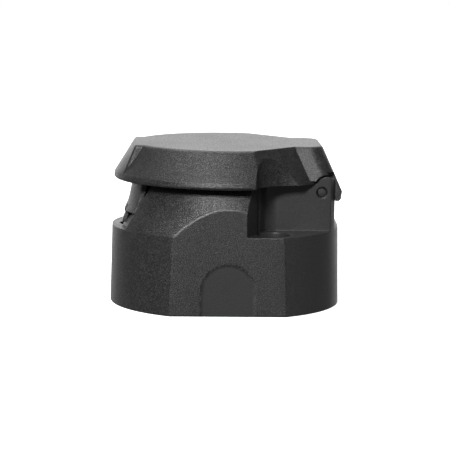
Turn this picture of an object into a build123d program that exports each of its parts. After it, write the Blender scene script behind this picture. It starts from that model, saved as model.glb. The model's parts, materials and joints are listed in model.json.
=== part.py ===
from build123d import *
import math
import os

# Thirteen-way trailer socket, standing on its mounting face with the sprung lid shut.
# Millimetres. +Z is the plug axis, +X points at the lid hinge, the origin is on the mounting face.

# Housing outline
foot_radius = 41.5
rim_radius = 41.0
rim_height = 28.0
side_flat = 36.1
collar_radius = 28.8
collar_top = 52.0
neck_radius = 26.3
skirt_height = 45.0

# Thumb grips pressed into the two side flats
grip_half_width = 10.0
grip_height = 18.8
grip_depth = 0.3
grip_border = 1.3

# Fixing holes, an M5 triangle
fixing_pcd = 64.66
fixing_count = 3
fixing_first_angle = 60.0
fixing_radius = 2.75
fixing_well_radius = 6.0
fixing_seat = 8.0

# Wells beside the hinge and opposite it
well_start = 6.4
well_slant = 0.43
well_corner_radius = 5.0
tongue_well_half_width = 19.0
tongue_well_foot = 37.3
tongue_well_head = 27.5
tongue_well_head_height = 43.5

# Plug bore and the rear cavity
mouth_radius = 22.5
mouth_length = 7.0
bore_radius = 21.8
shoulder_height = 27.0
cavity_radius = 24.0
keyway_width = 5.0
keyway_depth = 1.3
keyway_foot = 32.5
bayonet_width = 4.0
bayonet_depth = 1.0
bayonet_foot = 36.5
bayonet_count = 3
snap_groove_radius = 24.9
snap_ring_low = 21.5
snap_ring_high = 23.0
snap_ring_width = 3.4
snap_ring_half_gap = 3.0
snap_lug_angle = 0.21
snap_lug_sink = 3.2
snap_lug_radius = 1.6
snap_lug_hole_radius = 0.7

# Moulded coring under the base
core_wall_radius = 30.6
core_skin = 2.6
core_roof = 25.2
core_rib_count = 18
core_rib_width = 1.8
boss_radius = 8.2

# Small radii on the housing's outside edges
flat_edge_radius = 1.2
foot_edge_radius = 0.4

# Hinge
pivot_x = 33.7
pivot_z = 41.8
ear_inside = 13.6
ear_outside = 17.8
ear_top = 44.8
knuckle_x = 35.4
knuckle_z = 43.5
knuckle_radius = 4.0
ear_root_x = 15.0
hinge_ledge = 31.2
hinge_wall_radius = 24.6
pin_radius = 1.65
ear_bore_radius = 1.68
pin_sink_radius = 2.0
pin_sink_depth = 0.8
pin_recess = 0.35
pin_end_chamfer = 0.25

# Lid
lid_top = 58.0
lid_top_radius = 33.5
lid_top_edge_radius = 1.6
lid_lip_radius = 40.2
lid_lip_height = 47.3
lid_foot_radius = 40.5
lid_foot_edge_radius = 0.9
lid_wall = 2.5
lid_slope = (lid_lip_radius - lid_top_radius) / (lid_top - lid_lip_height)
front_end_half_width = 15.5
front_end_foot_half_width = 16.0
front_end_corner_x = 32.8
front_end_edge_radius = 1.2
facet_angle = 43.5
facet_distance = 28.5
facet_slope = 0.53
facet_wall = 2.0
scoop_x = 24.0
scoop_y = 39.9
scoop_radius = 14.85
scoop_wall = 2.0

# Hood of the lid over the hinge, and the flap below it
hood_top_x = 34.0
hood_tip_x = 41.3
hood_tip_z = 41.8
hood_end_slope = (hood_tip_x - hood_top_x) / (lid_top - hood_tip_z)
hood_top_half_width = 16.5
hood_side_slope = 0.28
hood_corner_radius = 5.5
hood_edge_radius = 1.1
hood_wall = 1.5
hood_foot = 46.0
flap_head = 49.0
flap_foot = 38.3
flap_half_width = 13.2
flap_outer_x = 40.9
flap_thickness = 2.0
flap_foot_bevel_rise = 0.8
flap_foot_bevel_run = 0.6
swing_gap = 0.3
swing_notch_radius = 6.9
swing_notch_top = 49.0
knuckle_gap = 0.7
barrel_radius = 4.2
barrel_bore_radius = 1.72
barrel_inner_y = 6.8
web_inner_y = 8.0
web_outer_y = 12.2
web_front_inset = 1.2
web_front_rise = 1.0
web_head_overlap = 0.5

# Finger tongue of the lid, opposite the hinge
tongue_half_width = 15.0
tongue_profile = [
    (31.2, 54.0),
    (34.0, 54.0),
    (33.9, 43.3),
    (34.8, 38.5),
    (35.6, 35.5),
    (36.6, 33.3),
    (34.4, 33.3),
    (33.9, 35.5),
    (32.0, 43.3),
]
nub_half_width = 4.2
nub_profile = [(-35.6, 35.5), (-36.6, 33.3), (-36.1, 32.4), (-37.4, 29.3), (-35.9, 28.9), (-34.2, 34.5)]

# Contact insert
island_radius = 16.5
island_top = 44.5
flange_radius = 23.8
flange_low = 23.0
rear_body_radius = 17.6
rear_body_low = 14.5
outer_contacts = 8
outer_circle = 12.6
inner_contacts = 5
inner_circle = 5.4

# Contacts
sleeve_radius = 2.1
sleeve_bore = 1.3
sleeve_top = 43.0
sleeve_depth = 12.0
sleeve_slot_width = 0.5
sleeve_slot_length = 8.0
barrel_contact_radius = 2.6
barrel_contact_top = 24.0
wire_bore = 1.6
wire_depth = 8.5
outer_barrel_low = 13.0
inner_barrel_low = 10.0
contact_gap = 0.05
front_hole_radius = 1.55
terminal_radius = 1.1
terminal_gap = 0.05
terminal_rise = 3.0
terminal_length = 2.6
terminal_sink = 0.6
terminal_slot_depth = 0.6
terminal_slot_half_width = 0.2
terminal_access_gap = 0.5
lead_in_depth = 0.6
island_edge = 0.6

# Seals and grommet
seal_gap = 0.05
lid_seal_inside = 23.0
lid_seal_outside = 26.8
lid_seal_low = 52.3
lid_seal_seat_width = 2.0
lid_seal_seat_rise = 1.2
plug_seal_height = 2.6
insert_seal_low = 24.6
insert_seal_high = 26.0
insert_groove_radius = 22.6
insert_seal_proud = 0.15
gasket_inside = 25.2
gasket_outside = 28.4
gasket_height = 1.8
grommet_low = 1.6
grommet_high = 3.6
grommet_bead = 24.6
cable_radius = 5.5
nozzle_radius = 8.0
nozzle_low = 0.3
nozzle_high = 4.6

# Lid spring: angles are measured round the pin from +X towards +Z
spring_wire = 0.55
spring_coil_radius = 3.0
spring_pitch = 1.35
spring_turns = 7.25
spring_start_angle = 30.0
lid_leg_length = 3.4
housing_leg_length = 8.4


def ring(outer, inner, low, high):
    """A plain ring about the plug axis."""
    body = Pos(0, 0, low) * Cylinder(outer, high - low, align=(Align.CENTER, Align.CENTER, Align.MIN))
    if inner > 0:
        hole = Pos(0, 0, low - 1) * Cylinder(
            inner, high - low + 2, align=(Align.CENTER, Align.CENTER, Align.MIN)
        )
        body = body - hole
    return body


def post(x, y, radius, low, high):
    """A round post parallel to the plug axis."""
    return Pos(x, y, low) * Cylinder(radius, high - low, align=(Align.CENTER, Align.CENTER, Align.MIN))


def block(x0, x1, y0, y1, z0, z1):
    """A box given by its limits."""
    return Pos((x0 + x1) / 2, (y0 + y1) / 2, (z0 + z1) / 2) * Box(x1 - x0, y1 - y0, z1 - z0)


def turned(points):
    """A solid turned about the plug axis from (radius, height) points."""
    return revolve(Plane.XZ * make_face(Polyline(*points, close=True)), Axis.Z)


def plate(face, half_width, centre_y=0.0):
    """A flat face in X and Z, thickened to half_width each side of centre_y."""
    return Pos(0, centre_y, 0) * extrude(Plane.XZ * face, half_width, both=True)


def polygon(points):
    """A filled outline through the points."""
    return make_face(Polyline(*points, close=True))


def across(x, z, radius, y0, y1):
    """A round bar parallel to the hinge pin."""
    bar = Cylinder(radius, y1 - y0, rotation=(90, 0, 0))
    return Pos(x, (y0 + y1) / 2, z) * bar


def fixing_places():
    """Centres of the fixing holes, in plan."""
    places = []
    for k in range(fixing_count):
        turn = math.radians(fixing_first_angle + 360 * k / fixing_count)
        places.append((fixing_pcd / 2 * math.cos(turn), fixing_pcd / 2 * math.sin(turn)))
    return places


def contact_places():
    """Plan centre, direction and rear end of each contact, outer circle first."""
    places = []
    for count, circle, low in (
        (outer_contacts, outer_circle, outer_barrel_low),
        (inner_contacts, inner_circle, inner_barrel_low),
    ):
        for k in range(count):
            turn = 180 + 360 * (k + 0.5) / count
            bearing = math.radians(turn)
            places.append((circle * math.cos(bearing), circle * math.sin(bearing), turn, low))
    return places


def outer_form():
    """Turned block of the housing, cut by its two side flats."""
    block_of_revolution = turned(
        [
            (0, 0),
            (foot_radius, 0),
            (rim_radius, rim_height),
            (collar_radius, collar_top),
            (0, collar_top),
        ]
    )
    return block_of_revolution & block(-50, 50, -side_flat, side_flat, -1, collar_top + 1)


def neck():
    """Collar kept round where the wells would cut into it under the lid."""
    return ring(neck_radius, 0, ear_top, collar_top + 1)


def side_well(side):
    """Open well over a fixing hole beside the hinge; side is -1 for the front, 1 for the back."""
    reach = 46.0
    corner_x = well_start + well_slant * (side_flat - ear_outside)
    outside_x = well_start - well_slant * (reach - side_flat)
    outline = make_face(
        FilletPolyline(
            (outside_x, side * reach),
            (corner_x, side * ear_outside),
            (reach, side * ear_outside),
            radius=well_corner_radius,
        )
        + Polyline((reach, side * ear_outside), (reach, side * reach), (outside_x, side * reach))
    )
    return Pos(0, 0, rim_height) * extrude(outline, collar_top, dir=(0, 0, 1)) - neck()


def rounded_form():
    """Outer form with its side wells and the mould's small radii on the edges of the side flats."""
    body = outer_form() - side_well(-1) - side_well(1)
    for side in (-1, 1):
        near, far = sorted((side * (side_flat - 0.01), side * (side_flat + 0.01)))
        on_flat = body.edges().filter_by_position(Axis.Y, near, far)
        left_of_well = on_flat.filter_by_position(Axis.Z, 1, collar_top).filter_by(
            lambda edge: (edge @ 0.5).X < well_start - 1 or (edge @ 0.5).Z < rim_height - 1
        )
        body = fillet(left_of_well, flat_edge_radius)
    return fillet(body.edges().group_by(Axis.Z)[0], foot_edge_radius)


def hinge_well():
    """Space between the ears for the lid's barrels."""
    cut = block(hinge_wall_radius - 12, 50, -ear_inside, ear_inside, hinge_ledge, collar_top + 1)
    return cut - ring(hinge_wall_radius, 0, hinge_ledge - 1, ear_top + 1) - neck()


def tongue_well():
    """Step in the cone opposite the hinge, where the lid's tongue hangs."""
    slope = (tongue_well_foot - tongue_well_head) / (tongue_well_head_height - rim_height)
    neck_height = rim_height + (tongue_well_foot - neck_radius) / slope
    cut = turned(
        [
            (tongue_well_foot, rim_height),
            (50, rim_height),
            (50, collar_top + 1),
            (neck_radius, collar_top + 1),
            (neck_radius, neck_height),
        ]
    )
    half = tongue_well_half_width
    return cut & block(-60, 0, -half, half, rim_height - 1, collar_top + 2)


def ear(side):
    """One hinge ear with its rounded knuckle."""
    middle = side * (ear_inside + ear_outside) / 2
    half = (ear_outside - ear_inside) / 2
    bar = block(ear_root_x, 50, middle - half, middle + half, rim_height, ear_top)
    knuckle = across(knuckle_x, knuckle_z, knuckle_radius, middle - half, middle + half)
    root = block(
        knuckle_x - knuckle_radius, 50, middle - half, middle + half, rim_height, knuckle_z
    )
    whole = bar + knuckle + root
    reach = block(knuckle_x, 50, middle - half - 1, middle + half + 1, knuckle_z, lid_top)
    overhang = reach - across(knuckle_x, knuckle_z, knuckle_radius, middle - half - 2, middle + half + 2)
    return (whole - overhang) & ring(rim_radius, 0, 0, lid_top)


def thumb_arch(half_width, offset):
    """Arched outline on a plane parallel to the side flats."""
    straight = grip_height - grip_half_width
    sides = Polyline((-half_width, straight), (-half_width, -1), (half_width, -1), (half_width, straight))
    crown = ThreePointArc((half_width, straight), (0, straight + half_width), (-half_width, straight))
    return Plane.XZ.offset(offset) * make_face(sides + crown)


def thumb_grip(side):
    """Shallow arched recess in a side flat, with a sloping border, open at the foot."""
    outer = thumb_arch(grip_half_width + grip_border, -side * (side_flat + grip_depth))
    inner = thumb_arch(grip_half_width - grip_border, -side * (side_flat - grip_depth))
    return loft([outer, inner])


def base_coring():
    """Moulder's pockets under the base, split by ribs and kept off the fixing bosses."""
    outside = foot_radius - core_skin
    pocket = ring(outside, core_wall_radius, -1, core_roof)
    wall = side_flat - core_skin
    pocket = pocket & block(-50, 50, -wall, wall, -2, core_roof + 1)
    half = core_rib_width / 2
    rib = block(core_wall_radius - 2, foot_radius, -half, half, -2, core_roof + 1)
    for k in range(core_rib_count):
        turn = 360 * (k + 0.5) / core_rib_count
        pocket = pocket - Rot(0, 0, turn) * rib
    for x, y in fixing_places():
        pocket = pocket - post(x, y, boss_radius, -2, core_roof + 1)
    return pocket


def make_housing():
    """Black moulded shell: base, cone, collar, hinge ears and plug bore."""
    body = rounded_form()
    body = body - hinge_well() - tongue_well()
    for side in (-1, 1):
        body = body + ear(side)
    body = body - ring(mouth_radius, 0, collar_top - mouth_length, collar_top + 5)
    body = body - ring(bore_radius, 0, shoulder_height - 1, collar_top)
    body = body - ring(cavity_radius, 0, -1, shoulder_height)
    body = body - ring(snap_groove_radius, 0, snap_ring_low, snap_ring_high)
    body = body - ring(grommet_bead + seal_gap, 0, grommet_low, grommet_high)
    body = body - ring(gasket_outside + seal_gap, gasket_inside - seal_gap, -1, gasket_height)
    half = keyway_width / 2
    body = body - block(-bore_radius - keyway_depth, 0, -half, half, keyway_foot, collar_top + 1)
    half = bayonet_width / 2
    slot = block(bore_radius - 2, bore_radius + bayonet_depth, -half, half, bayonet_foot, collar_top + 1)
    for k in range(bayonet_count):
        turn = 60 + 360 * k / bayonet_count
        body = body - Rot(0, 0, turn) * slot
    for x, y in fixing_places():
        body = body - post(x, y, fixing_radius, -1, fixing_seat + 1)
        body = body - post(x, y, fixing_well_radius, fixing_seat, ear_top)
    body = body - across(pivot_x, pivot_z, ear_bore_radius, -ear_outside - 1, ear_outside + 1)
    for side in (-1, 1):
        sink_low = side * (ear_outside - pin_sink_depth / 2 + 0.5)
        sink_half = pin_sink_depth / 2 + 0.5
        body = body - across(pivot_x, pivot_z, pin_sink_radius, sink_low - sink_half, sink_low + sink_half)
        body = body - thumb_grip(side)
    return body - base_coring()


def hood_slab(inset, foot, head):
    """Tapered hood over the hinge, inset from its outer faces, from foot to head height."""
    sections = []
    for z in (foot, head):
        drop = lid_top - z
        end = hood_top_x + hood_end_slope * drop - inset * math.hypot(1, hood_end_slope)
        half = hood_top_half_width + hood_side_slope * drop - inset * math.hypot(1, hood_side_slope)
        outline = RectangleRounded(end, 2 * half, hood_corner_radius - inset / 2)
        sections.append(Pos(end / 2, 0, z) * outline)
    return loft(sections)


def front_end():
    """Squared end of the cap opposite the hinge; it runs out into the round lip at its foot."""
    foot_x = math.sqrt(lid_lip_radius**2 - front_end_foot_half_width**2)
    sections = []
    for half, corner_x, middle_x, z in (
        (front_end_half_width, front_end_corner_x, lid_top_radius, lid_top),
        (front_end_foot_half_width, foot_x, lid_lip_radius, lid_lip_height),
    ):
        root = -front_end_half_width
        sides = Polyline((-corner_x, half), (root, half), (root, -half), (-corner_x, -half))
        bow = ThreePointArc((-corner_x, -half), (-middle_x, 0), (-corner_x, half))
        sections.append(Pos(0, 0, z) * make_face(sides + bow))
    body = loft(sections, ruled=True)
    outer = body.edges().filter_by_position(Axis.X, -lid_lip_radius, -front_end_half_width - 1)
    corners = outer.filter_by_position(Axis.Z, lid_lip_height + 1, lid_top - 1)
    return fillet(corners + outer.group_by(Axis.Z)[-1], front_end_edge_radius)


def facet_cut(side, inset):
    """Everything outside the slanting facet beside the hood, inset from its outer face."""
    bearing = math.radians(facet_angle)
    outward = (math.cos(bearing), side * math.sin(bearing))
    distance = facet_distance - inset * math.hypot(1, facet_slope)
    place = Plane(
        origin=(distance * outward[0], distance * outward[1], lid_top),
        x_dir=(-outward[1], outward[0], 0),
        z_dir=(outward[0], outward[1], facet_slope),
    )
    return place * Box(90, 90, 40, align=(Align.CENTER, Align.CENTER, Align.MIN))


def with_hood(body, hood, inset, scoop_inset):
    """The cap or its hollow joined with the hood's, cut by the facets and scoops beside the hood."""
    body = body + hood
    for side in (-1, 1):
        body = body - (facet_cut(side, inset) - hood)
        body = body - post(scoop_x, side * scoop_y, scoop_radius + scoop_inset, 0, lid_top + 1)
    return body


def lid_outside():
    """Round cap with its lip, squared front end and hood."""
    cap = turned(
        [
            (0, skirt_height),
            (lid_foot_radius, skirt_height),
            (lid_lip_radius, lid_lip_height),
            (lid_top_radius, lid_top),
            (0, lid_top),
        ]
    )
    cap = fillet(cap.edges().group_by(Axis.Z)[-1], lid_top_edge_radius)
    cap = fillet(cap.edges().group_by(Axis.Z)[0], lid_foot_edge_radius)
    end_x = hood_top_x - swing_gap / 2
    beyond_hood = polygon(
        [
            (end_x, lid_top + 1),
            (end_x, lid_top),
            (end_x + hood_end_slope * (lid_top - skirt_height + 1), skirt_height - 1),
            (60, skirt_height - 1),
            (60, lid_top + 1),
        ]
    )
    cap = cap - plate(beyond_hood, hood_top_half_width + 10)
    hood = hood_slab(0, hood_foot, lid_top)
    top_edges = hood.edges().group_by(Axis.Z)[-1]
    hood_end = top_edges.filter_by_position(Axis.X, hood_top_x / 2 + 1, hood_top_x + 1)
    return with_hood(cap + front_end(), fillet(hood_end, hood_edge_radius), 0, 0)


def lid_hollow():
    """Inside of the cap and the hood."""
    ceiling = lid_top - lid_wall
    inner_lip = lid_lip_radius - lid_wall * math.hypot(1, lid_slope)
    inner_head = inner_lip - lid_slope * (ceiling - lid_lip_height)
    hollow = turned(
        [
            (0, skirt_height - 1),
            (inner_lip + lid_foot_radius - lid_lip_radius, skirt_height - 1),
            (inner_lip, lid_lip_height),
            (inner_head, ceiling),
            (0, ceiling),
        ]
    )
    return with_hood(hollow, hood_slab(hood_wall, hood_foot - 1, ceiling), facet_wall, scoop_wall)


def end_flap():
    """End wall below the hood, between the ears."""
    head_x = hood_tip_x - hood_end_slope * (flap_head - hood_tip_z)
    wall = lid_wall * math.hypot(1, hood_end_slope)
    flap = polygon(
        [
            (head_x, flap_head),
            (hood_tip_x, hood_tip_z),
            (flap_outer_x, flap_foot + flap_foot_bevel_rise),
            (flap_outer_x - flap_foot_bevel_run, flap_foot),
            (flap_outer_x - flap_thickness, flap_foot),
            (flap_outer_x - flap_thickness - 0.3, hood_tip_z),
            (head_x - wall, flap_head),
        ]
    )
    return plate(flap, flap_half_width)


def barrel(side):
    """Pin barrel with the web that carries it."""
    ceiling = lid_top - lid_wall
    y0, y1 = sorted((side * barrel_inner_y, side * flap_half_width))
    web = polygon(
        [
            (pivot_x - barrel_radius, pivot_z),
            (pivot_x + barrel_radius, pivot_z),
            (hood_tip_x - web_front_inset, pivot_z + web_front_rise),
            (hood_top_x + 0.2, ceiling + web_head_overlap),
            (pivot_x - barrel_radius, ceiling + web_head_overlap),
        ]
    )
    body = plate(web, (web_outer_y - web_inner_y) / 2, side * (web_inner_y + web_outer_y) / 2)
    return body + across(pivot_x, pivot_z, barrel_radius, y0, y1)


def ear_room(side):
    """Space in the hood's side wall for the ear, at rest and through the swing."""
    past_ear = ear_outside + swing_gap
    outside = hood_top_half_width + 10
    y0, y1 = sorted((side * flap_half_width, side * past_ear))
    room = across(pivot_x, pivot_z, swing_notch_radius, y0, y1)
    room = room + block(pivot_x + 1.0, 60, y0, y1, 0, swing_notch_top)
    y0, y1 = sorted((side * flap_half_width, side * outside))
    clear = knuckle_radius + knuckle_gap
    room = room + across(knuckle_x, knuckle_z, clear, y0, y1)
    return room + block(knuckle_x, 60, y0, y1, 0, knuckle_z + clear)


def tongue():
    """Curved plate that hangs from the cap's front, with a narrow nub at its foot."""
    half = tongue_half_width
    body = turned(tongue_profile) & block(-50, 0, -half, half, 0, lid_top)
    return body + plate(polygon(nub_profile), nub_half_width)


def make_lid():
    """Sprung lid: round cap, hood over the hinge, end flap, barrels and finger tongue."""
    ceiling = lid_top - lid_wall
    shell = lid_outside() - lid_hollow()
    shell = shell + end_flap() + barrel(-1) + barrel(1)
    shell = shell - ear_room(-1) - ear_room(1)
    shell = shell - across(pivot_x, pivot_z, barrel_bore_radius, -30, 30)
    outer = lid_seal_inside - seal_gap
    inner = lid_seal_inside - lid_seal_seat_width
    seat = ring(outer, inner, lid_seal_low + lid_seal_seat_rise, ceiling + web_head_overlap)
    return shell + tongue() + seat


def make_lid_seal():
    """Flat rubber ring in the lid that closes on the collar."""
    return ring(lid_seal_outside, lid_seal_inside, lid_seal_low, lid_top - lid_wall)


def make_insert_carrier():
    """Flanged ring that centres the contact block in the housing and carries the seal."""
    return turned(
        [
            (island_radius + contact_gap, flange_low),
            (flange_radius, flange_low),
            (flange_radius, insert_seal_low),
            (insert_groove_radius, insert_seal_low),
            (insert_groove_radius, insert_seal_high),
            (flange_radius, insert_seal_high),
            (flange_radius, shoulder_height),
            (island_radius + contact_gap, shoulder_height),
        ]
    )


def make_insert():
    """Moulded block that holds the contacts in the middle of the plug bore."""
    body = turned(
        [
            (0, rear_body_low),
            (rear_body_radius, rear_body_low),
            (rear_body_radius, flange_low),
            (island_radius, flange_low),
            (island_radius, island_top - island_edge),
            (island_radius - island_edge, island_top),
            (0, island_top),
        ]
    )
    sleeve_room = sleeve_radius + contact_gap
    barrel_room = barrel_contact_radius + contact_gap
    barrel_end = barrel_contact_top + contact_gap
    for x, y, turn, low in contact_places():
        body = body - post(x, y, front_hole_radius, sleeve_top - 1, island_top + 1)
        body = body - post(x, y, sleeve_room, barrel_contact_top - 1, sleeve_top + contact_gap)
        body = body - post(x, y, barrel_room, rear_body_low - 1, barrel_end)
        lead_in = Cone(
            front_hole_radius,
            front_hole_radius + lead_in_depth,
            lead_in_depth,
            align=(Align.CENTER, Align.CENTER, Align.MIN),
        )
        body = body - Pos(x, y, island_top - 0.5) * lead_in
        if low == outer_barrel_low:
            hole = Cylinder(terminal_radius + terminal_access_gap, 8, rotation=(0, 90, 0))
            access = Pos(outer_circle + 4, 0, low + terminal_rise) * hole
            body = body - Rot(0, 0, turn) * access
    return body


def make_insert_seal():
    """Square rubber ring in the carrier's groove."""
    low, high = insert_seal_low + seal_gap, insert_seal_high - seal_gap
    return ring(flange_radius + insert_seal_proud, insert_groove_radius + seal_gap, low, high)


def make_plug_seal():
    """Rubber ring on the shoulder, round the contact block."""
    high = shoulder_height + plug_seal_height
    return ring(bore_radius - seal_gap, island_radius + seal_gap, shoulder_height, high)


def make_contact(place):
    """Brass contact: slotted front sleeve, wire barrel and a tapped hole for its screw."""
    x, y, turn, low = place
    body = post(0, 0, sleeve_radius, barrel_contact_top, sleeve_top)
    body = body + post(0, 0, barrel_contact_radius, low, barrel_contact_top)
    body = body - post(0, 0, sleeve_bore, sleeve_top - sleeve_depth, sleeve_top + 1)
    body = body - post(0, 0, wire_bore, low - 1, low + wire_depth)
    reach = sleeve_radius + 1
    half = sleeve_slot_width / 2
    slot = block(-reach, reach, -half, half, sleeve_top - sleeve_slot_length, sleeve_top + 1)
    body = body - slot
    tapping = Cylinder(terminal_radius + terminal_gap, 2 * barrel_contact_radius, rotation=(0, 90, 0))
    body = body - Pos(barrel_contact_radius, 0, low + terminal_rise) * tapping
    return Pos(x, y, 0) * (Rot(0, 0, turn) * body)


def make_terminal_screws():
    """One slotted grub screw for each contact."""
    screws = []
    middle = barrel_contact_radius - terminal_sink
    slot_low = middle + terminal_length / 2 - terminal_slot_depth
    slot_high = middle + terminal_length / 2 + 1
    half = terminal_slot_half_width
    for x, y, turn, low in contact_places():
        stud = Cylinder(terminal_radius, terminal_length, rotation=(0, 90, 0))
        screw = Pos(middle, 0, low + terminal_rise) * stud
        slot = block(slot_low, slot_high, -half, half, low, low + 2 * terminal_rise)
        screws.append(Pos(x, y, 0) * (Rot(0, 0, turn) * (screw - slot)))
    return Compound(screws)


def make_snap_ring():
    """Spring steel ring, open at one side, that keeps the insert against its shoulder."""
    low = snap_ring_low + seal_gap
    outer = snap_groove_radius - seal_gap
    body = ring(outer, snap_groove_radius - snap_ring_width, low, snap_ring_high)
    half = snap_ring_half_gap
    body = body - block(0, 40, -half, half, snap_ring_low - 1, snap_ring_high + 1)
    lug_circle = snap_groove_radius - snap_lug_sink
    x = lug_circle * math.cos(snap_lug_angle)
    for side in (-1, 1):
        y = side * lug_circle * math.sin(snap_lug_angle)
        lug = post(x, y, snap_lug_radius, low, snap_ring_high)
        body = (body + lug) - post(x, y, snap_lug_hole_radius, 0, 40)
    return body


def make_grommet():
    """Rubber membrane that closes the rear cavity round the cable."""
    body = ring(cavity_radius - seal_gap, cable_radius, grommet_low + 0.3, grommet_high - 0.3)
    body = body + ring(grommet_bead, cavity_radius - 2.0, grommet_low + seal_gap, grommet_high - seal_gap)
    return body + ring(nozzle_radius, cable_radius, nozzle_low, nozzle_high)


def make_hinge_pin():
    """Plain steel pin through both ears and both lid barrels."""
    half = ear_outside - pin_recess
    pin = across(pivot_x, pivot_z, pin_radius, -half, half)
    ends = pin.edges().filter_by(GeomType.CIRCLE)
    return chamfer(ends, pin_end_chamfer)


def make_lid_spring():
    """Torsion spring round the pin: one leg bears on the lid's flap, the other on the collar."""
    height = spring_pitch * spring_turns
    coil = Helix(spring_pitch, height, spring_coil_radius, lefthand=True)
    lid_leg = Line(coil @ 0 - coil % 0 * lid_leg_length, coil @ 0)
    housing_leg = Line(coil @ 1, coil @ 1 + coil % 1 * housing_leg_length)
    section = Plane(origin=lid_leg @ 0, z_dir=lid_leg % 0) * Circle(spring_wire)
    path = Wire([lid_leg.edge(), coil.edge(), housing_leg.edge()])
    wire = sweep(section, path=path, is_frenet=True)
    # The helix rises along Z; turn it to its starting angle and lay it along the pin
    laid = Rot(0, -spring_start_angle, 0) * (Rot(-90, 0, 0) * wire)
    return Pos(pivot_x, -height / 2, pivot_z) * laid


def save(shape, name):
    """Write one sub-part."""
    export_step(shape, f"parts/{name}.step")


os.makedirs("parts", exist_ok=True)
save(make_housing(), "housing")
save(make_lid(), "lid")
save(make_lid_seal(), "lid_seal")
save(make_hinge_pin(), "hinge_pin")
save(make_lid_spring(), "lid_spring")
save(make_insert(), "contact_insert")
save(make_insert_carrier(), "insert_carrier")
save(make_insert_seal(), "insert_seal")
save(make_snap_ring(), "insert_retaining_ring")
save(make_plug_seal(), "plug_seal")
save(ring(gasket_outside, gasket_inside, 0, gasket_height), "mounting_gasket")
save(make_grommet(), "cable_grommet")
for number, place in enumerate(contact_places(), start=1):
    save(make_contact(place), f"contact_{number:02d}")
save(make_terminal_screws(), "terminal_screws")
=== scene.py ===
import bpy
import json
import math
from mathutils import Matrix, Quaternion, Vector


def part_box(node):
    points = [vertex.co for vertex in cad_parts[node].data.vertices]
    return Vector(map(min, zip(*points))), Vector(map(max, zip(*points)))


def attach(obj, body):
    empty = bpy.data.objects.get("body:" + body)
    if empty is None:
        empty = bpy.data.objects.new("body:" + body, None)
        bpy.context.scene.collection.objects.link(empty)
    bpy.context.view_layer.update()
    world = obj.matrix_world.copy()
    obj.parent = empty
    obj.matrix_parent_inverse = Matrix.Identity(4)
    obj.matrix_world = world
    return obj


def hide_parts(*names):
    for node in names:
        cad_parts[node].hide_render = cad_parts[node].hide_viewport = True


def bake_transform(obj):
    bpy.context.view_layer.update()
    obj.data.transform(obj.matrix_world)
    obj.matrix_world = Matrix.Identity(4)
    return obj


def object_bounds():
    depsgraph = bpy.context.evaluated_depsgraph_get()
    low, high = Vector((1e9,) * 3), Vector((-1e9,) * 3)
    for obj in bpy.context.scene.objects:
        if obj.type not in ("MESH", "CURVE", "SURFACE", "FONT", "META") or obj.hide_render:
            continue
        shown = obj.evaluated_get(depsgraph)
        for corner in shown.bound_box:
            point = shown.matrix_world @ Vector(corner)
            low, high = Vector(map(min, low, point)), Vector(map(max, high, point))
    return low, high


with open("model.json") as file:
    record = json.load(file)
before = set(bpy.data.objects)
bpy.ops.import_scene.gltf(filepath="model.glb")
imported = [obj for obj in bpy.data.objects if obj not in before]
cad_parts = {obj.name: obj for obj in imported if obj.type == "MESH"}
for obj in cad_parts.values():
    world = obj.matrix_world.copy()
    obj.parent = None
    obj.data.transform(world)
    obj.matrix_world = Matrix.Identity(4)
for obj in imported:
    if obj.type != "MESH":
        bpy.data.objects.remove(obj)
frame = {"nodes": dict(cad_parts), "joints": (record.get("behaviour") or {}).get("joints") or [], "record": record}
cad_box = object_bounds()
MM = 0.001

# ---------------------------------------------------------------- places read from the frame
hinge = next(joint for joint in frame["joints"] if joint["name"] == "lid_hinge")
pivot = Vector(hinge["pos_m"])
side_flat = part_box("housing")[1].y
insert_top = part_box("contact_insert")[1].z

# ---------------------------------------------------------------- helpers


def link(piece):
    """Put a new object in the scene."""
    bpy.context.scene.collection.objects.link(piece)
    return piece


def new_material(name):
    """An empty node material with its principled shader."""
    material = bpy.data.materials.new(name)
    material.use_nodes = True
    tree = material.node_tree
    return material, tree, tree.nodes["Principled BSDF"]


def object_place(tree):
    """The object's coordinates, which are the frame's."""
    return tree.nodes.new("ShaderNodeTexCoord").outputs["Object"]


def axes(tree, place):
    """The X, Y and Z of a vector."""
    split = tree.nodes.new("ShaderNodeSeparateXYZ")
    tree.links.new(place, split.inputs["Vector"])
    return split.outputs["X"], split.outputs["Y"], split.outputs["Z"]


def noise(tree, place, scale, detail, roughness):
    """Noise at a place; scale is in waves to the metre."""
    made = tree.nodes.new("ShaderNodeTexNoise")
    for key, number in (("Scale", scale), ("Detail", detail), ("Roughness", roughness)):
        made.inputs[key].default_value = number
    tree.links.new(place, made.inputs["Vector"])
    return made.outputs["Fac"]


def remap(tree, value, low, high, to_low=0.0, to_high=1.0):
    """A clamped linear map."""
    made = tree.nodes.new("ShaderNodeMapRange")
    tree.links.new(value, made.inputs["Value"])
    limits = (("From Min", low), ("From Max", high), ("To Min", to_low), ("To Max", to_high))
    for key, number in limits:
        made.inputs[key].default_value = number
    return made.outputs["Result"]


def calc(tree, operation, *values):
    """A math operation on sockets or numbers, taken one after another."""
    made = tree.nodes.new("ShaderNodeMath")
    made.operation = operation
    for k, value in enumerate(values[:2]):
        if isinstance(value, (int, float)):
            made.inputs[k].default_value = value
        else:
            tree.links.new(value, made.inputs[k])
    result = made.outputs["Value"]
    return calc(tree, operation, result, *values[2:]) if len(values) > 2 else result


def mix_colour(tree, share, first, second):
    """A colour between two colours."""
    made = tree.nodes.new("ShaderNodeMix")
    made.data_type = "RGBA"
    tree.links.new(share, made.inputs["Factor"])
    made.inputs["A"].default_value = (*first, 1)
    made.inputs["B"].default_value = (*second, 1)
    return made.outputs["Result"]


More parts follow.
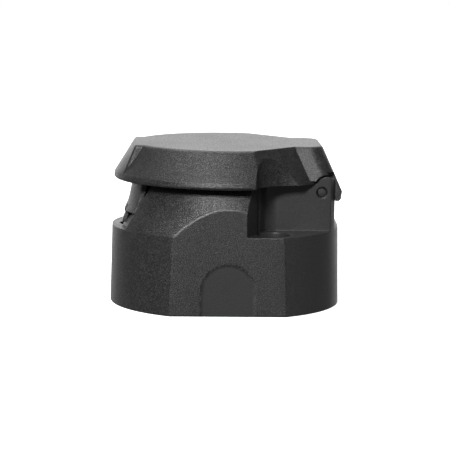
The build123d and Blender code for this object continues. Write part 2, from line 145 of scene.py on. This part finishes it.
def soft_edge(tree, radius):
    """Normals rounded over small edge radii."""
    made = tree.nodes.new("ShaderNodeBevel")
    made.samples = 6
    made.inputs["Radius"].default_value = radius
    return made.outputs["Normal"]


def bump(tree, height, distance, strength, normal):
    """A bump node; height is multiplied by distance, and strength is a number or a socket."""
    made = tree.nodes.new("ShaderNodeBump")
    made.inputs["Distance"].default_value = distance
    if isinstance(strength, (int, float)):
        made.inputs["Strength"].default_value = strength
    else:
        tree.links.new(strength, made.inputs["Strength"])
    tree.links.new(height, made.inputs["Height"])
    tree.links.new(normal, made.inputs["Normal"])
    return made.outputs["Normal"]


# ---------------------------------------------------------------- materials


def moulded_plastic(name, grain_smoothing_and_painted_light=None):
    """Black glass-filled plastic with a spark-eroded grain; the optional mask, given tree and place, is 1 where
    the grain is smooth and a lighter tone is painted on as light.
    """
    material, tree, shader = new_material(name)
    place = object_place(tree)
    grain = noise(tree, place, 3100.0, 2.0, 0.6)
    pits = noise(tree, place, 6000.0, 1.0, 0.5)
    cloud = noise(tree, place, 60.0, 3.0, 0.5)
    height = calc(tree, "ADD", remap(tree, grain, 0.33, 0.70), calc(tree, "MULTIPLY", pits, 0.35))
    speckle = remap(tree, grain, 0.48, 0.64)
    strength = 1.0
    if grain_smoothing_and_painted_light:
        # The grain fades, and its speckle with it, towards an even tone lighter than the grain's mean: painted
        # light
        even_tone_with_painted_light = 0.40
        strength = remap(tree, grain_smoothing_and_painted_light(tree, place), 0.0, 1.0, 1.0, 0.30)
        lost = calc(tree, "SUBTRACT", 1.0, strength)
        speckle = calc(tree, "MULTIPLY", speckle, strength)
        speckle = calc(tree, "ADD", speckle, calc(tree, "MULTIPLY", lost, even_tone_with_painted_light))
    colour = mix_colour(tree, speckle, (0.0025, 0.0025, 0.0026), (0.054, 0.054, 0.055))
    tree.links.new(colour, shader.inputs["Base Color"])
    sheen = calc(tree, "MULTIPLY", speckle, -0.10)
    roughness = calc(tree, "ADD", remap(tree, cloud, 0.3, 0.7, 0.36, 0.41), sheen)
    tree.links.new(roughness, shader.inputs["Roughness"])
    normal = bump(tree, height, 0.05 * MM, strength, soft_edge(tree, 0.6 * MM))
    tree.links.new(normal, shader.inputs["Normal"])
    shader.inputs["Specular IOR Level"].default_value = 0.42
    return material


def housing_polish(tree, place):
    """The wells, ears, thumb grips and round sides come from smoother parts of the mould, and their tone is
    painted lighter to stand for the light they catch.
    """
    x, y, z = axes(tree, place)
    side = calc(tree, "ABSOLUTE", y)
    # Wells beside the hinge: above the rim, past their slanting wall, inside the side flats
    well_slant = 0.43
    past_wall = calc(tree, "ADD", x, calc(tree, "MULTIPLY", side, well_slant))
    well = calc(
        tree,
        "MULTIPLY",
        remap(tree, z, 27.2 * MM, 27.6 * MM),
        remap(tree, past_wall, 21.6 * MM, 22.0 * MM),
        remap(tree, side, side_flat - 0.2 * MM, side_flat - 0.4 * MM),
    )
    # Round sides below the rim, less so at the end opposite the hinge, where less painted light is laid on
    off_flat = remap(tree, side, side_flat - 0.1 * MM, side_flat - 0.3 * MM)
    round_side = calc(tree, "MULTIPLY", off_flat, remap(tree, z, 28.3 * MM, 27.9 * MM))
    far_end_less_smoothing_and_painted_light = remap(tree, x, 0.0, 2.0 * MM, 0.75, 0.0)
    round_side = calc(tree, "SUBTRACT", round_side, far_end_less_smoothing_and_painted_light)
    # Thumb grips, sunk a little into the side flats
    grip = calc(
        tree,
        "MULTIPLY",
        remap(tree, side, side_flat - 0.1 * MM, side_flat - 0.3 * MM),
        remap(tree, calc(tree, "ABSOLUTE", x), 10.4 * MM, 10.0 * MM),
        remap(tree, z, 19.0 * MM, 18.7 * MM),
    )
    # The side flats take a quarter share: less speckle and a slightly lighter tone, painted light
    flat_share = 0.25
    on_flat = remap(tree, side, side_flat - 0.2 * MM, side_flat - 0.1 * MM, 0.0, flat_share)
    return calc(tree, "MAXIMUM", well, round_side, grip, on_flat)


def matt_polymer(name):
    """Dull black rubber or plastic with a bloom."""
    material, tree, shader = new_material(name)
    place = object_place(tree)
    bloom = noise(tree, place, 220.0, 4.0, 0.6)
    fine = noise(tree, place, 3500.0, 2.0, 0.5)
    share = remap(tree, bloom, 0.35, 0.7)
    colour = mix_colour(tree, share, (0.018, 0.018, 0.019), (0.040, 0.039, 0.038))
    tree.links.new(colour, shader.inputs["Base Color"])
    tree.links.new(remap(tree, fine, 0.2, 0.8, 0.68, 0.85), shader.inputs["Roughness"])
    normal = bump(tree, fine, 0.04 * MM, 0.8, soft_edge(tree, 0.3 * MM))
    tree.links.new(normal, shader.inputs["Normal"])
    return material


def metal(name, dark, light, rough_low, rough_high, stretch=(1.0, 1.0, 1.0)):
    """Turned or drawn metal with fine streaks and tarnish; a small stretch draws them out along an axis."""
    material, tree, shader = new_material(name)
    place = object_place(tree)
    mapping = tree.nodes.new("ShaderNodeMapping")
    mapping.inputs["Scale"].default_value = stretch
    tree.links.new(place, mapping.inputs["Vector"])
    streak = noise(tree, mapping.outputs["Vector"], 2600.0, 2.0, 0.6)
    tarnish = noise(tree, place, 420.0, 4.0, 0.65)
    colour = mix_colour(tree, remap(tree, tarnish, 0.3, 0.7), dark, light)
    tree.links.new(colour, shader.inputs["Base Color"])
    shader.inputs["Metallic"].default_value = 1.0
    tree.links.new(remap(tree, streak, 0.25, 0.75, rough_low, rough_high), shader.inputs["Roughness"])
    normal = bump(tree, streak, 0.02 * MM, 0.6, soft_edge(tree, 0.1 * MM))
    tree.links.new(normal, shader.inputs["Normal"])
    return material


finish = {
    "black_housing": moulded_plastic("housing_plastic", housing_polish),
    "black_lid": moulded_plastic("lid_plastic"),
    "insert_plastic": matt_polymer("insert_smooth_plastic"),
    "seal_rubber": matt_polymer("seal_rubber"),
    "pin_steel": metal(
        "blackened_pin_steel", (0.035, 0.035, 0.037), (0.08, 0.08, 0.084), 0.34, 0.52
    ),
    "spring_steel": metal(
        "spring_steel", (0.30, 0.30, 0.31), (0.55, 0.55, 0.57), 0.22, 0.36, (1.0, 0.2, 1.0)
    ),
    "contact_brass": metal(
        "turned_brass", (0.62, 0.44, 0.17), (0.82, 0.64, 0.32), 0.20, 0.38, (0.2, 0.2, 4.0)
    ),
    "screw_steel": metal("zinc_plated_screw", (0.45, 0.46, 0.49), (0.70, 0.70, 0.72), 0.25, 0.42),
}
for row in frame["record"]["subparts"]:
    part = frame["nodes"][row["node"]]
    part.data.materials.clear()
    part.data.materials.append(finish[row["material_slot"]])

# ---------------------------------------------------------------- torsion spring


def tube(name, path, radius, sides=14):
    """A closed round tube along the path, its section carried without twist."""
    rings = []
    across = Vector((0, 1, 0))
    for k, place in enumerate(path):
        along = (path[min(k + 1, len(path) - 1)] - path[max(k - 1, 0)]).normalized()
        across = (across - along * across.dot(along)).normalized()
        up = along.cross(across)
        turns = [2 * math.pi * n / sides for n in range(sides)]
        rings.append([place + radius * (math.cos(a) * across + math.sin(a) * up) for a in turns])
    points = [point for circle in rings for point in circle]
    faces = []
    for k in range(len(rings) - 1):
        for n in range(sides):
            m = (n + 1) % sides
            faces.append((k * sides + n, k * sides + m, (k + 1) * sides + m, (k + 1) * sides + n))
    last = (len(rings) - 1) * sides
    faces.append(tuple(range(sides))[::-1])
    faces.append(tuple(last + n for n in range(sides)))
    mesh = bpy.data.meshes.new(name)
    mesh.from_pydata(points, [], faces)
    for face in mesh.polygons:
        face.use_smooth = len(face.vertices) == 4
    return link(bpy.data.objects.new(name, mesh))


def make_spring():
    """Left-hand coil round the pin, with a leg under the lid's flap and a leg on the collar."""
    wire_radius = 0.55 * MM
    coil_radius = 3.0 * MM
    pitch = 1.35 * MM
    turns = 7.25
    first_angle = math.radians(30.0)
    lid_leg = 3.4 * MM
    housing_leg = 8.4 * MM
    steps = int(turns * 40)
    coil = []
    for k in range(steps + 1):
        turn = 2 * math.pi * turns * k / steps
        angle = first_angle + turn
        rise = pitch * (turn / (2 * math.pi) - turns / 2)
        coil.append(pivot + Vector((coil_radius * math.cos(angle), rise, coil_radius * math.sin(angle))))
    out_of_start = (coil[0] - coil[1]).normalized()
    out_of_end = (coil[-1] - coil[-2]).normalized()
    start = [coil[0] + out_of_start * lid_leg * share for share in (1.0, 0.97, 0.66, 0.33)]
    end = [coil[-1] + out_of_end * housing_leg * share for share in (0.2, 0.4, 0.6, 0.8, 0.99, 1.0)]
    spring = tube("torsion_spring", start + coil + end, wire_radius)
    spring.data.materials.append(finish["spring_steel"])
    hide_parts("lid_spring")
    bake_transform(spring)


make_spring()

# ---------------------------------------------------------------- contact numbers


def make_number(number, place):
    """One raised figure on the face of the contact block, read from the side opposite the hinge."""
    name = f"number_{number:02d}"
    curve = bpy.data.curves.new(name, "FONT")
    curve.body = str(number)
    curve.size = 1.7 * MM
    curve.align_x = "CENTER"
    curve.align_y = "CENTER"
    curve.extrude = 0.12 * MM
    curve.bevel_depth = 0.02 * MM
    curve.materials.append(finish["insert_plastic"])
    figure = link(bpy.data.objects.new(name, curve))
    figure.location = place
    figure.rotation_euler.z = -math.pi / 2
    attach(figure, "socket")


def make_numbers():
    """A figure beside each contact hole, on the side towards the middle."""
    inward = 2.9 * MM
    height = insert_top + 0.05 * MM
    for number in range(1, 14):
        low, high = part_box(f"contact_{number:02d}")
        centre = (low + high) / 2
        reach = math.hypot(centre.x, centre.y)
        share = (reach - inward) / reach
        make_number(number, (centre.x * share, centre.y * share, height))


make_numbers()

# ---------------------------------------------------------------- floor, light and camera


def floor_material():
    """Pale matt paper, lit a little from below like a light table."""
    material, tree, shader = new_material("pale_floor")
    fibre = noise(tree, object_place(tree), 30.0, 3.0, 0.5)
    colour = mix_colour(tree, fibre, (0.90, 0.90, 0.90), (0.94, 0.94, 0.94))
    tree.links.new(colour, shader.inputs["Base Color"])
    shader.inputs["Roughness"].default_value = 0.9
    shader.inputs["Emission Color"].default_value = (1, 1, 1, 1)
    shader.inputs["Emission Strength"].default_value = 0.72
    return material


def make_floor():
    """A wide pale floor just under the mounting face."""
    half = 3.0
    corners = [(-half, -half, 0), (half, -half, 0), (half, half, 0), (-half, half, 0)]
    mesh = bpy.data.meshes.new("floor")
    mesh.from_pydata(corners, [], [(0, 1, 2, 3)])
    mesh.materials.append(floor_material())
    floor = link(bpy.data.objects.new("floor", mesh))
    floor.location.z = cad_box[0].z - 0.05 * MM
    floor.visible_diffuse = False
    floor.visible_glossy = False


def area_light(name, place, size, power):
    """A soft box aimed at the middle of the object."""
    data = bpy.data.lights.new(name, "AREA")
    data.shape = "RECTANGLE"
    data.size, data.size_y = size
    data.energy = power
    lamp = link(bpy.data.objects.new(name, data))
    lamp.location = place
    target = Vector((0, 0, 30.0 * MM))
    lamp.rotation_euler = (target - Vector(place)).to_track_quat("-Z", "Y").to_euler()


def make_light():
    """A key light in front and a little to the left, a high one at the left and a wide one overhead."""
    area_light("key", (-0.22, -0.79, 0.43), (0.12, 0.16), 12.5)
    area_light("left", (-0.42, 0.0, 0.86), (0.30, 0.30), 2.4)
    area_light("top", (0.0, 0.30, 0.85), (0.6, 0.5), 5.0)


def make_surround():
    """World light: bright behind the object, dim in front and below."""
    dim, bright = 0.19, 1.6
    world = bpy.data.worlds.new("studio")
    bpy.context.scene.world = world
    world.use_nodes = True
    tree = world.node_tree
    direction = tree.nodes.new("ShaderNodeTexCoord").outputs["Generated"]
    x, y, z = axes(tree, direction)
    behind = calc(tree, "MULTIPLY", remap(tree, y, 0.72, 0.92), remap(tree, z, -0.25, -0.05))
    background = tree.nodes["Background"]
    tree.links.new(remap(tree, behind, 0.0, 1.0, dim, bright), background.inputs["Strength"])
    background.inputs["Color"].default_value = (1, 1, 1, 1)


def make_camera():
    """A far camera, a little above the object and a little to the left of square on."""
    distance, rise, aim_height = 0.787, 0.139, 0.0274
    turn = math.radians(-2.2)
    lean = math.radians(-0.8)
    data = bpy.data.cameras.new("camera")
    data.sensor_width = 36.0
    data.lens = 174.6
    data.clip_start, data.clip_end = 0.01, 20.0
    camera = link(bpy.data.objects.new("camera", data))
    camera.location = (distance * math.sin(turn), -distance * math.cos(turn), rise)
    sight = Vector((0, 0, aim_height)) - camera.location
    camera.rotation_mode = "QUATERNION"
    camera.rotation_quaternion = Quaternion(sight.normalized(), lean) @ sight.to_track_quat("-Z", "Y")
    bpy.context.scene.camera = camera
    bpy.context.scene.view_settings.view_transform = "Standard"


make_floor()
make_surround()
make_light()
make_camera()
